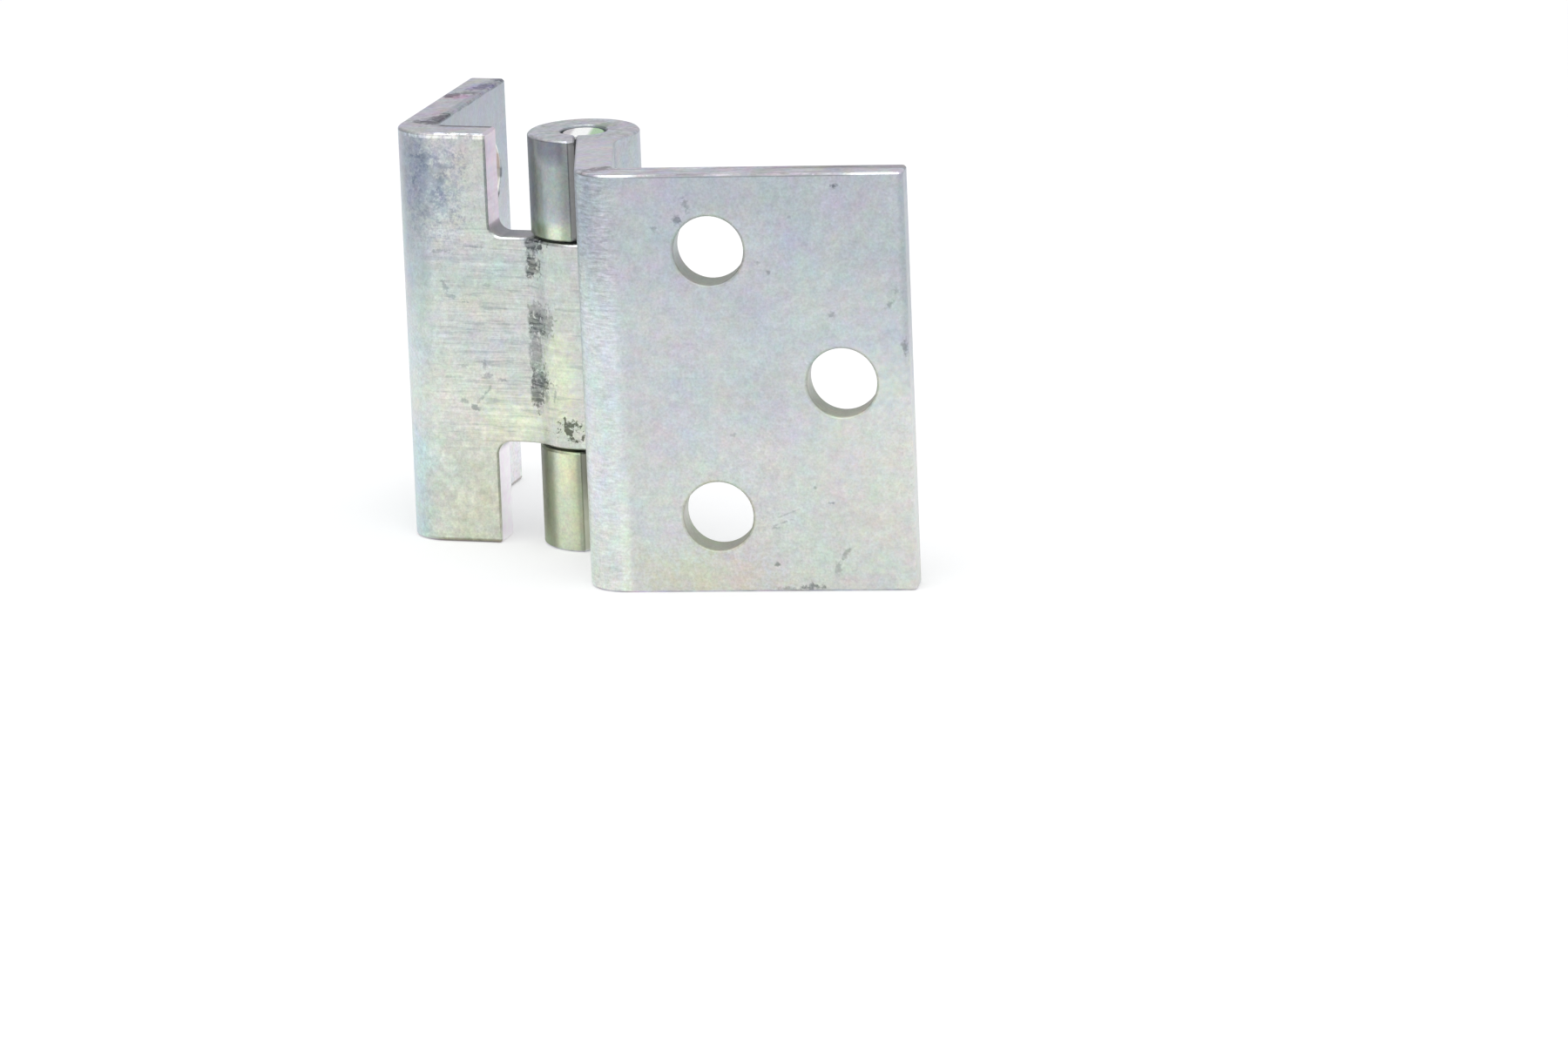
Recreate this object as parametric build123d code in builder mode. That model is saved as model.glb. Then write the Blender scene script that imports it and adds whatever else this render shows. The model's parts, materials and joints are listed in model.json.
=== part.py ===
from build123d import *
from math import asin, atan2, cos, degrees, radians, sin, sqrt, tan
import os

# Tailgate hinge of zinc-plated steel plate, standing upright on its lower edges. Millimetres, +Z up, the plate
# leaf's outer face looks along -Y.

# Place of the pin axis in the frame, whose origin is under the middle of the hinge.
pin_x = -8.98
pin_y = -2.77

# Sheet and pin
leaf_height = 50.0
sheet = 4.5
bend_inner_radius = 0.5
edge_round = 0.6
edge_break = 0.25
pin_diameter = 5.5
pin_recess = 0.2
pin_chamfer = 0.4

# Rolled knuckle: its wall is a little thinner than the sheet, and the leaf runs into it off centre.
knuckle_wall = 3.95
leaf_offset = 3.7
kink_radius = 4.5
seam_gap = 0.2
roll_end_break = 0.9
running_clearance = 0.05
middle_knuckle = 25.0
knuckle_gap = 0.3
notch_room = 4.5
notch_corner = 1.6

# Angle leaf, with the middle knuckle. Its bend is full on the inside, where the fold piled the metal up.
angle_leaf_turn = 170.0
angle_bend_inner_radius = 2.0
flange_reach = 23.4
leg_depth = 31.5
leg_hole_diameter = 8.2
leg_hole_inset = 7.2
leg_hole_spacing = 29.6

# Plate leaf, with the two outer knuckles
plate_bend_angle = 97.0
plate_standoff = 25.8
plate_width = 38.5
plate_hole_diameter = 8.2
paired_hole_inset = 15.4
paired_hole_spacing = 31.8
single_hole_inset = 8.0
hole_rim = 0.25

# Sizes that follow from the ones above
pin_radius = pin_diameter / 2
knuckle_radius = pin_radius + knuckle_wall
running_bore_radius = pin_radius + running_clearance
leaf_back = leaf_offset - sheet
seam_face = leaf_back - seam_gap
bend_outer_radius = bend_inner_radius + sheet
notch_edge = knuckle_radius + notch_room
notch_height = (leaf_height - middle_knuckle) / 2
plate_lean = plate_bend_angle - 90
plate_fold = 180 - plate_bend_angle
bend_reach = (plate_standoff + leaf_back * sin(radians(plate_lean))) / cos(radians(plate_lean))

# Where the leaf's kinked face leaves for the knuckle, on a hollow round of the kink radius
kink_start = sqrt((knuckle_radius + kink_radius) ** 2 - (leaf_offset + kink_radius) ** 2)
kink_turn = degrees(atan2(leaf_offset + kink_radius, kink_start))

# Two places nearer than this are the same place.
same_place = 0.001


def leaf_plane(turn):
    """Plan of a leaf: local x runs from the pin axis out along the leaf, local y to its kinked face."""
    return Plane(origin=(pin_x, pin_y, 0), x_dir=(cos(radians(turn)), sin(radians(turn)), 0), z_dir=(0, 0, 1))


def face_plane(plan, corner, along, outward):
    """Upright plane on a leaf's face: local x runs along the face, local y is up."""
    x_dir = plan.x_dir * along[0] + plan.y_dir * along[1]
    z_dir = plan.x_dir * outward[0] + plan.y_dir * outward[1]
    return Plane(origin=plan.from_local_coords((corner[0], corner[1], 0)), x_dir=x_dir, z_dir=z_dir)


def on_circle(radius, height):
    """Point of a circle round the pin axis that lies on the leaf's side, at a height across the leaf."""
    return (sqrt(radius**2 - height**2), height)


def angle_at(radius, height):
    """Angle of that point, in degrees."""
    return degrees(asin(height / radius))


def curl(bore_radius):
    """Edges of the rolled end of the sheet: kink, knuckle, end of the roll at the seam, and bore."""
    outer_end = 360 + angle_at(knuckle_radius, seam_face)
    bore_end = 360 + angle_at(bore_radius, seam_face)
    CenterArc((kink_start, leaf_offset + kink_radius), kink_radius, 270, kink_turn - 90)
    CenterArc((0, 0), knuckle_radius, kink_turn, outer_end - kink_turn)
    Line(on_circle(knuckle_radius, seam_face), on_circle(bore_radius, seam_face))
    CenterArc((0, 0), bore_radius, bore_end, angle_at(bore_radius, leaf_back) - bore_end)


def notch(plan, bottom, top, bottom_corner, top_corner):
    """Cut beside the knuckles, right through the sheet, with rounded inner corners."""
    with BuildSketch(face_plane(plan, (0, 0), (1, 0), (0, -1))) as outline:
        with BuildLine():
            FilletPolyline(
                (-2 * knuckle_radius, bottom),
                (notch_edge, bottom),
                (notch_edge, top),
                (-2 * knuckle_radius, top),
                radius=[0, bottom_corner, top_corner, 0],
                close=True,
            )
        make_face()
    extrude(outline.sketch, amount=2 * knuckle_radius, both=True, mode=Mode.SUBTRACT)


def upright_edges_at(leaf, plan, place):
    """Upright edges of a leaf that stand at one distance out along it from the pin axis."""
    upright = leaf.edges().filter_by(Axis.Z)
    return upright.filter_by(lambda edge: abs(plan.to_local_coords(edge.center()).X - place) < same_place)


def sheared_edges(leaf, plan):
    """Edges of the sheet's cut outline, with the upright ones at the notches."""
    return (leaf.edges() - leaf.edges().filter_by(Axis.Z)) + upright_edges_at(leaf, plan, notch_edge)


def roll_end_edges(leaf, plan):
    """Outer edges of the sheet's rolled-in end, which open the seam into a groove."""
    return upright_edges_at(leaf, plan, on_circle(knuckle_radius, seam_face)[0])


# Angle leaf: flange with the middle knuckle, folded back square into a leg with two holes
angle_plan = leaf_plane(angle_leaf_turn)
leg_end = leaf_offset - leg_depth
with BuildPart() as angle_leaf:
    with BuildSketch(angle_plan):
        with BuildLine():
            curl(running_bore_radius)
            FilletPolyline(
                on_circle(running_bore_radius, leaf_back),
                (flange_reach - sheet, leaf_back),
                (flange_reach - sheet, leg_end),
                (flange_reach, leg_end),
                (flange_reach, leaf_offset),
                (kink_start, leaf_offset),
                radius=[angle_bend_inner_radius, edge_round, edge_round, bend_outer_radius],
            )
        make_face()
    extrude(amount=leaf_height)
    notch(angle_plan, -notch_height, notch_height, 0, notch_corner)
    notch(angle_plan, leaf_height - notch_height, leaf_height + notch_height, notch_corner, 0)
    chamfer(roll_end_edges(angle_leaf, angle_plan), roll_end_break)
    chamfer(sheared_edges(angle_leaf, angle_plan), edge_break)
    with BuildSketch(face_plane(angle_plan, (flange_reach, leg_end), (0, 1), (1, 0))):
        with Locations((leg_hole_inset, leaf_height / 2)):
            with GridLocations(0, leg_hole_spacing, 1, 2):
                Circle(leg_hole_diameter / 2)
    extrude(amount=-sheet, mode=Mode.SUBTRACT)
    chamfer(angle_leaf.edges(Select.LAST).filter_by(GeomType.CIRCLE), hole_rim)
angle_leaf.part.label = "angle_leaf"

# Plate leaf: leg with the two outer knuckles, folded into the plate with three holes
plate_plan = leaf_plane(270 + plate_lean)
plate_along = (cos(radians(plate_fold)), sin(radians(plate_fold)))
plate_inward = (-plate_along[1], plate_along[0])
plate_outward = (plate_along[1], -plate_along[0])
plate_end = (bend_reach + plate_width * plate_along[0], leaf_back + plate_width * plate_along[1])
with BuildPart() as plate_leaf:
    with BuildSketch(plate_plan):
        with BuildLine():
            curl(pin_radius)
            FilletPolyline(
                on_circle(pin_radius, leaf_back),
                (bend_reach, leaf_back),
                plate_end,
                (plate_end[0] + sheet * plate_inward[0], plate_end[1] + sheet * plate_inward[1]),
                (bend_reach - sheet * tan(radians(plate_fold / 2)), leaf_offset),
                (kink_start, leaf_offset),
                radius=[bend_outer_radius, edge_round, edge_round, bend_inner_radius],
            )
        make_face()
    extrude(amount=leaf_height)
    notch(plate_plan, notch_height - knuckle_gap, leaf_height - notch_height + knuckle_gap, notch_corner, notch_corner)
    chamfer(roll_end_edges(plate_leaf, plate_plan), roll_end_break)
    chamfer(sheared_edges(plate_leaf, plate_plan), edge_break)
    with BuildSketch(face_plane(plate_plan, (bend_reach, leaf_back), plate_along, plate_outward)):
        with Locations((paired_hole_inset, leaf_height / 2)):
            with GridLocations(0, paired_hole_spacing, 1, 2):
                Circle(plate_hole_diameter / 2)
        with Locations((plate_width - single_hole_inset, leaf_height / 2)):
            Circle(plate_hole_diameter / 2)
    extrude(amount=-sheet, mode=Mode.SUBTRACT)
    chamfer(plate_leaf.edges(Select.LAST).filter_by(GeomType.CIRCLE), hole_rim)
plate_leaf.part.label = "plate_leaf"

# Hinge pin: pressed into the outer knuckles, a little below their faces
with BuildPart() as hinge_pin:
    with BuildSketch(Plane(origin=(pin_x, pin_y, pin_recess))):
        Circle(pin_radius)
    extrude(amount=leaf_height - 2 * pin_recess)
    chamfer(hinge_pin.edges().filter_by(GeomType.CIRCLE), pin_chamfer)
hinge_pin.part.label = "hinge_pin"

os.makedirs("parts", exist_ok=True)
export_step(angle_leaf.part, "parts/angle_leaf.step")
export_step(plate_leaf.part, "parts/plate_leaf.step")
export_step(hinge_pin.part, "parts/hinge_pin.step")
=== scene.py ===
import json
from math import cos, radians, sin

import bpy
from mathutils import Matrix, Vector


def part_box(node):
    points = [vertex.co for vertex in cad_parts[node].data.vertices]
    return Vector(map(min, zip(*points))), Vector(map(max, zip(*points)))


# Tailgate hinge of zinc-plated steel plate. Places and sizes on the part are in millimetres, and
# colours are linear.

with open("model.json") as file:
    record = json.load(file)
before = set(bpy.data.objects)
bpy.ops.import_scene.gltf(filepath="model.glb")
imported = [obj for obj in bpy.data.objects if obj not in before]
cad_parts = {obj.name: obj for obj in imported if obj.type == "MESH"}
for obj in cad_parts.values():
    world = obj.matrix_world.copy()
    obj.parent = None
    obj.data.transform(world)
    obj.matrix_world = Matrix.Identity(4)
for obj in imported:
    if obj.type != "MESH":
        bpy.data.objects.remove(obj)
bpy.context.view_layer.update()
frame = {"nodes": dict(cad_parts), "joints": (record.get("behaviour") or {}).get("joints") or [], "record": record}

MM = 0.001

# Sizes and places on the part that the finish follows
PIN = Vector(frame["joints"][0]["pos_m"]) / MM
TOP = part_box("plate_leaf")[1].z / MM
PLATE_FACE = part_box("plate_leaf")[0].y / MM
MOUNTS = {mount["name"]: mount for mount in frame["record"]["mounts"]}
HOLE_RADIUS = MOUNTS["plate_single_hole"]["dims"]["r_mm"]
ANGLE_LEAF_TURN = 170.0
PLATE_LEAF_TURN = 277.0
SHEET = 4.5
LEAF_OFFSET = 3.7
FLANGE_REACH = 23.4
MIDDLE_KNUCKLE = 25.0
PIN_RADIUS = 2.75
KNUCKLE_WALL = 3.95
NOTCH_ROOM = 4.5
SEAM_GAP = 0.2
KINK_LINE = 6.7

# Places that follow from these
LEAF_BACK = LEAF_OFFSET - SHEET
LEG_INSIDE = FLANGE_REACH - SHEET
KNUCKLE_RADIUS = PIN_RADIUS + KNUCKLE_WALL
NOTCH_EDGE = KNUCKLE_RADIUS + NOTCH_ROOM
TAB_LOW = (TOP - MIDDLE_KNUCKLE) / 2
TAB_HIGH = TOP - TAB_LOW
SEAM = LEAF_BACK - SEAM_GAP / 2

# Rounding of the edges, which are small chamfers in the solids
WELD_DISTANCE = 0.002
FLAT_ANGLE = radians(0.5)
SHARP_ANGLE = radians(30)
EDGE_ROUND = 0.12
EDGE_STEPS = 2

# Colours by height, from the foot of the hinge to its top: paler and greener towards the foot, darker and bluer at
# the top
TONE_BY_HEIGHT = (
    (0.00, (0.635, 0.655, 0.62)),
    (0.25, (0.65, 0.675, 0.66)),
    (0.55, (0.585, 0.62, 0.64)),
    (1.00, (0.495, 0.53, 0.575)),
)
SHEARED_ZINC = (0.60, 0.59, 0.645)
NOTCH_ZINC = (0.73, 0.65, 0.74)
# Near-white walls of the leg's holes: painted light in their shaded hollow
LEG_HOLE_PAINTED_LIGHT = (1.0, 0.99, 0.97)
LEG_HOLE_SOIL = (0.72, 0.63, 0.60)
# Near-white pin ends: a painted highlight
PIN_END_HIGHLIGHT_WHITE = (1.0, 1.0, 0.98)
PIN_SIDE_ZINC = (0.40, 0.41, 0.42)

# Sheen and relief of the metal
METAL_SHARE = 0.92
PIN_METAL_SHARE = 0.25
LEAF_RELIEF = 0.014
PIN_RELIEF = 0.01
GRAIN_RANGE = (0.7, 1.3)
ZINC_ROUGHNESS = (0.30, 0.46)
WORN_ROUGHNESS = 0.30
RING_RANGE = (0.3, 0.7)
PIN_ROUGHNESS = (0.22, 0.38)

# Sockets of a Mix node that mixes colours: share, first and second colour, and result
MIX_INPUTS = (0, 6, 7)
MIX_RESULT = 2


class Graph:
    """Node graph of a material or of the world. Each method adds nodes and gives an output of theirs.

    Its places are the coordinates, each by a name, that zones follow.
    """

    def __init__(self, owner):
        owner.use_nodes = True
        self.owner = owner
        self.tree = owner.node_tree
        self.tree.nodes.clear()
        self.places = {}

    def add(self, kind, values=None, **settings):
        node = self.tree.nodes.new(kind)
        for key, value in settings.items():
            setattr(node, key, value)
        for key, value in (values or {}).items():
            self.put(node.inputs[key], value)
        return node

    def put(self, socket, value):
        if isinstance(value, bpy.types.NodeSocket):
            self.tree.links.new(value, socket)
        elif socket.type == "RGBA":
            socket.default_value = tuple(value) + (1,)
        elif socket.type == "VECTOR" and isinstance(value, float):
            socket.default_value = (value, value, value)
        else:
            socket.default_value = value

    def math(self, operation, *values):
        return self.add("ShaderNodeMath", dict(enumerate(values)), operation=operation).outputs[0]

    def vector(self, operation, *values):
        return self.add("ShaderNodeVectorMath", dict(enumerate(values)), operation=operation).outputs

    def product(self, *values):
        result = values[0]
        for value in values[1:]:
            result = self.math("MULTIPLY", result, value)
        return result

    def strongest(self, *values):
        result = values[0]
        for value in values[1:]:
            result = self.math("MAXIMUM", result, value)
        return result

    def noise(self, point, scale, detail=2.0, roughness=0.5, output="Fac"):
        values = {"Vector": point, "Scale": scale, "Detail": detail, "Roughness": roughness}
        return self.add("ShaderNodeTexNoise", values).outputs[output]

    def streaks(self, point, factors, detail, roughness):
        """Noise that is long where the factor of an axis is small, and fine where it is large."""
        return self.noise(self.vector("MULTIPLY", point, factors)[0], 1.0, detail, roughness)

    def step(self, value, low, high, at_low=0.0, at_high=1.0):
        """Smooth step from at_low where the value is low, to at_high where it is high."""
        if low > high:
            low, high, at_low, at_high = high, low, at_high, at_low
        values = {"Value": value, "From Min": low, "From Max": high, "To Min": at_low, "To Max": at_high}
        return self.add("ShaderNodeMapRange", values, interpolation_type="SMOOTHSTEP").outputs["Result"]

    def band(self, value, low, high, soft):
        """1 between low and high, fading to 0 over the soft distance outside."""
        return self.product(self.step(value, low - soft, low), self.step(value, high + soft, high))

    def mask(self, zones, *others):
        """Product of masks and zones. A zone with a soft distance is a band, and others are steps."""
        masks = list(others)
        for name, (start, end, *soft) in zones.items():
            shape = self.band if soft else self.step
            masks.append(shape(self.places[name], start, end, *soft))
        return self.product(*masks)

    def mix(self, share, first, second, blend="MIX"):
        node = self.add("ShaderNodeMix", data_type="RGBA", blend_type=blend)
        for number, value in zip(MIX_INPUTS, (share, first, second)):
            self.put(node.inputs[number], value)
        return node.outputs[MIX_RESULT]

    def stain(self, color, mask, tint):
        return self.mix(mask, color, tint, "MULTIPLY")

    def tint(self, color, table, *others):
        """Colour stained by each tint of a table within its zones and within other masks."""
        for tint, zones in table.values():
            color = self.stain(color, self.mask(zones, *others), tint)
        return color

    def vary(self, color, pattern, amount):
        """Colour made lighter and darker by a pattern that runs from 0 to 1."""
        centred = self.vector("SUBTRACT", pattern, 0.5)[0]
        factor = self.vector("MULTIPLY_ADD", centred, amount, 1.0)[0]
        return self.vector("MULTIPLY", color, factor)[0]

    def mottle(self, color, point, table):
        """Colour varied by each noise of a table, by an amount of its own."""
        for pattern, amount in table:
            color = self.vary(color, self.noise(point, *pattern), amount)
        return color

    def split(self, point):
        return self.add("ShaderNodeSeparateXYZ", {0: point}).outputs

    def join(self, *values):
        return self.add("ShaderNodeCombineXYZ", dict(enumerate(values))).outputs[0]

    def place(self, origin=(0, 0, 0), turn=0.0):
        """Place on the part, in millimetres, in a frame turned about the upright axis."""
        position = self.add("ShaderNodeTexCoord").outputs["Object"]
        values = {
            "Vector": position,
            "Location": tuple(number * MM for number in origin),
            "Rotation": (0, 0, radians(turn)),
            "Scale": (MM, MM, MM),
        }
        return self.add("ShaderNodeMapping", values, vector_type="TEXTURE").outputs[0]

    def distance(self, point, centre=(0, 0), size=(1, 1), turn=0.0):
        """Distance of a flat point from a centre, as a share of a size along each of two turned axes."""
        values = {
            "Vector": point,
            "Location": centre + (0,),
            "Rotation": (0, 0, radians(turn)),
            "Scale": size + (1,),
        }
        local = self.add("ShaderNodeMapping", values, vector_type="TEXTURE").outputs[0]
        return self.vector("LENGTH", local)["Value"]

    def blot(self, point, ragged, centre, size, turn, soft):
        """1 inside a mark with a ragged outline, 0 outside it."""
        reach = self.math("ADD", self.distance(point, centre, size, turn), ragged)
        return self.step(reach, 1.0, 1.0 - soft)

    def patches(self, point, ragged, table):
        """Strongest of the blots of a table, each with its softness and strength at the end of its row."""
        blots = []
        for *blot, strength in table:
            blots.append(self.product(self.blot(point, ragged, *blot), strength))
        return self.strongest(*blots)

    def marks(self, point, ragged, table, soft):
        """Strongest of the blots of a table that share one softness."""
        return self.patches(point, ragged, [(*blot, soft, strength) for *blot, strength in table])

    def ramp(self, share, stops):
        node = self.add("ShaderNodeValToRGB", {"Fac": share})
        node.color_ramp.interpolation = "EASE"
        elements = node.color_ramp.elements
        while len(elements) < len(stops):
            elements.new(0.5)
        for element, (position, color) in zip(elements, stops):
            element.position = position
            element.color = color + (1,)
        return node.outputs["Color"]

    def metal(self, color, roughness, height, relief, metal_share=METAL_SHARE):
        """Zinc surface. Relief is the depth of the height pattern in millimetres."""
        values = {"Strength": 1.0, "Distance": relief * MM, "Height": height}
        normal = self.add("ShaderNodeBump", values).outputs[0]
        values = {"Base Color": color, "Metallic": metal_share, "Roughness": roughness, "Normal": normal}
        shader = self.add("ShaderNodeBsdfPrincipled", values).outputs[0]
        self.add("ShaderNodeOutputMaterial", {"Surface": shader})
        return self.owner


# Noise on both leaves: scale per millimetre, detail, roughness and output. Mottles also have an amount.
ZINC_DRIFT = (0.08, 3)
DRIFT_REACH = 0.5
ZINC_MOTTLES = (
    ((0.18, 2, 0.5, "Color"), 0.20),
    ((0.6, 3, 0.6, "Color"), 0.24),
    ((2.0, 2, 0.6, "Color"), 0.14),
    ((0.9, 5, 0.75), 0.42),
)
ZINC_GRAIN = (3.0, 3, 0.7)
GRAIN_AMOUNT = 0.68
SHEARED_MOTTLES = (
    ((0.5, 3, 0.6, "Color"), 0.5),
    ((1.6, 3, 0.6), 0.6),
)
RAGGED_NOISE = (1.5, 4, 0.7)
RAGGED_REACH = 3.0
WORN_NOISE = (0.45, 5, 0.75)
WORN_FADE = 0.16
WORN_TINT = (0.80, 0.79, 0.77)
WORN_HEIGHTS = (TOP - 0.32, TOP - 0.04, 0.08)

# Depth below the top and above the bottom at which the sheared edges start, and at which they are full
SHEARED_DEPTHS = (0.3, 0.1)

# Reach from a hole's centre at which its wall starts and is full, reach of its rim with the soft distance,
# and height above the centre at which the lower wall starts and is full
WALL_REACH = (HOLE_RADIUS + 0.12, HOLE_RADIUS + 0.04)
RIM_REACH = (HOLE_RADIUS + 0.05, HOLE_RADIUS + 0.30, 0.1)
LOW_WALL_START = 0.5
LOW_WALL_FULL = -3.0


def zinc(graph, point, level):
    """Plated sheet: tone by level, pastel mottling and a fine grain. Gives its colour and its grain."""
    drift = graph.noise(point, *ZINC_DRIFT)
    level = graph.math("MULTIPLY_ADD", drift, DRIFT_REACH, graph.math("SUBTRACT", level, DRIFT_REACH / 2))
    color = graph.mottle(graph.ramp(level, TONE_BY_HEIGHT), point, ZINC_MOTTLES)
    grain = graph.noise(point, *ZINC_GRAIN)
    return graph.vary(color, grain, GRAIN_AMOUNT), grain


def ends(graph, start, full):
    """1 at the top and the bottom of the hinge, by the depths at which this starts and is full."""
    height = graph.places["height"]
    return graph.strongest(graph.step(height, TOP - start, TOP - full), graph.step(height, start, full))


def sheared(graph, point):
    """Mask and colour of the sheared top and bottom edges of the sheet: lilac, with dull patches."""
    return ends(graph, *SHEARED_DEPTHS), graph.mottle(SHEARED_ZINC, point, SHEARED_MOTTLES)


def ragged_outline(graph, point):
    """Noise that is added to the reach of a blot, so that its outline is ragged."""
    noise = graph.noise(point, *RAGGED_NOISE)
    return graph.math("MULTIPLY_ADD", noise, RAGGED_REACH, -RAGGED_REACH / 2)


def worn_edge(graph, point, start):
    """1 where the gloss of the upper edges is worn off, which is where a noise is above the start."""
    nicks = graph.step(graph.noise(point, *WORN_NOISE), start, start + WORN_FADE)
    return graph.mask({"height": WORN_HEIGHTS}, nicks)


def hole_masks(graph, point, centres):
    """Masks of the holes' walls, of their lower walls, and of the holes' rims."""
    walls, low_walls, rims = [], [], []
    for centre in centres:
        reach = graph.distance(point, centre)
        walls.append(graph.step(reach, *WALL_REACH))
        middle = centre[1]
        below = {"height": (middle + LOW_WALL_START, middle + LOW_WALL_FULL)}
        low_walls.append(graph.mask(below, walls[-1]))
        rims.append(graph.band(reach, *RIM_REACH))
    return graph.strongest(*walls), graph.strongest(*low_walls), graph.strongest(*rims)


def leaf_metal(graph, color, grain, lines, worn, relief):
    """Sheet with a sheen that follows its grain and its lines, and that is dull where it is worn."""
    roughness = graph.step(graph.math("ADD", grain, lines), *GRAIN_RANGE, *ZINC_ROUGHNESS)
    roughness = graph.math("MULTIPLY_ADD", worn, WORN_ROUGHNESS, roughness)
    return graph.metal(color, roughness, relief, LEAF_RELIEF)


# Angle leaf. Places on it run out along the leaf from the pin axis, across it towards the flange's
# face, and up. A tint multiplies the zinc's colour within its zones. A zone of two numbers starts at
# the first and is full at the second. One of three runs from the first to the second and fades over
# the third outside.
FLANGE_FRONT = {"across": (LEAF_OFFSET - 1.6, LEAF_OFFSET - 0.6)}
FLANGE_TINTS = {
    "cream": ((1.11, 1.10, 1.02), {"out": (21, 17)}),
    "dull foot": ((0.92, 0.92, 0.89), {"height": (16, 8)}),
    "blue foot beside the bend": ((1.01, 1.07, 1.10), {"out": (15, 18), "height": (16, 8)}),
    "pale top": ((1.08, 1.08, 1.04), {"out": (20, 17), "height": (34, 40)}),
    # Painted green reflection on the curve of the bend
    "painted green reflection beside the bend": ((1.02, 1.08, 1.05), {"out": (18.6, 20.6, 1.0), "height": (12, 32, 6)}),
}
# Painted shade and painted reflections on the outer bend: a dark bluish band up high, pale blue below it and
# deeper blue at the foot
ANGLE_BEND_PAINTED_LIGHT = {
    "painted bluish shade at the bend's top": ((0.78, 0.80, 0.84), {"out": (19.4, 21.6, 1.4), "height": (20, 46)}),
    "painted pale blue reflection below": ((1.09, 1.15, 1.15), {"out": (19.5, 22), "height": (40, 26)}),
    "painted deeper blue reflection at the foot": ((0.86, 0.94, 0.98), {"out": (19.5, 22), "height": (20, 8)}),
}
LEG_INNER_FACE = {"across": (LEAF_BACK, LEAF_BACK - 0.6), "out": (20.5, 19.5)}
# Painted light on the lower part of the leg's inner face, stronger towards the foot
LEG_INNER_PAINTED_LIGHT = {"painted pale light at the foot": ((1.28, 1.22, 1.32), {"height": (34, 10)})}

# Blotches and brushing of the flange. Brushed patterns have a factor for each axis, detail and roughness.
# Here and below, levels and amounts of four numbers are a start, an end, and what is reached at each.
BLOTCH_NOISE = (1.3, 4, 0.75)
BLOTCH_AMOUNT = 0.55
FOOT_STAIN_NOISE = (0.45, 4, 0.65)
FOOT_STAIN_AMOUNT = 0.6
FOOT_STAIN_ZONE = {"height": (17, 9)}
TAB_ZONE = {"height": (TAB_LOW + 1, TAB_HIGH, 2.0), "out": (19, 12)}
LINES = ((0.12, 0.12, 2.2), 4, 0.65)
LINE_AMOUNT = 0.25
TAB_LINE_AMOUNT = 0.35
LINE_RELIEF = 0.4
TAB_LINE_RELIEF = 0.9
SCORES = ((0.22, 0.22, 1.5), 2, 0.5)
SCORE_LEVELS = (0.60, 0.68)
SCORE_STRENGTH = 0.5
SCORE_TINT = (0.62, 0.66, 0.70)
STROKES = ((0.13, 0.13, 3.2), 3, 0.7)
STROKE_ZONE = {"height": (TAB_LOW + 1, TAB_HIGH, 4.0), "out": (20.5, 17)}
STROKE_AMOUNTS = (4.5, 8.0, 0.3, 1.0)
DARK_STROKE_LEVELS = (0.55, 0.64)
DARK_STROKE_TINT = (0.83, 0.85, 0.87)
PALE_STROKE_LEVELS = (0.45, 0.38)
PALE_STROKE_TINT = (1.10, 1.10, 1.10)

# Clouds on the flange. A blot has its centre out along the leaf and up, half sizes, turn and softness, and a
# blot in a table also its strength.
BLUE_CLOUD = ((18.2, 44.0), (5.5, 8.0), 0, 0.9)
BLUE_CLOUD_TINT = (0.76, 0.79, 0.88)
CLOUD_NOISE = (0.5, 4, 0.65)
CLOUD_LEVELS = (0.46, 0.64)
DARK_CLOUD_TINT = (0.66, 0.68, 0.75)
CREAM_CLOUDS = (
    ((9.0, 15.5), (6.0, 4.5), 0, 0.9, 1.0),
    ((2.3, 21.0), (2.8, 7.0), 0, 0.6, 1.0),
    ((15.0, 5.5), (6.5, 6.5), 0, 0.9, 0.4),
)
CREAM_CLOUD_TINT = (1.12, 1.15, 1.0)

# Dirt on the flange. A mark in a table has its centre, half sizes, turn and strength.
KINK_SMUDGES = (
    ((5.5, 36.9), (2.0, 1.1), 0, 1.0),
    ((6.0, 35.7), (1.1, 1.4), 0, 0.4),
    ((5.8, 34.1), (1.3, 1.9), 0, 1.0),
    ((5.3, 28.9), (1.9, 1.0), 0, 0.55),
    ((5.4, 27.2), (1.7, 1.6), 0, 1.0),
    ((3.9, 27.6), (1.3, 2.2), 0, 0.55),
    ((5.8, 24.0), (1.3, 3.4), 0, 0.6),
    ((5.2, 20.2), (1.6, 1.8), 0, 1.0),
    ((5.8, 18.7), (1.3, 2.2), 0, 0.95),
    ((4.3, 18.8), (0.5, 0.9), 0, 0.5),
)
SMUDGE_SOFT = 0.45
SMUDGE_SIDE = {"out": (KINK_LINE + 0.2, KINK_LINE - 0.2)}
SMUDGE_STREAKS = ((0.5, 0.5, 2.6), 4, 0.7)
SMUDGE_STREAK_LEVELS = (0.62, 0.40, 0.55, 1.0)
SMUDGE_TINT = (0.20, 0.21, 0.22)
SPECKS = ((0.9, 14.8), (2.6, 1.4), 0, 0.3)
SPECK_NOISE = (1.3, 3, 0.6)
SPECK_LEVELS = (0.49, 0.56)
SPECK_TINT = (0.22, 0.23, 0.20)
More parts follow.
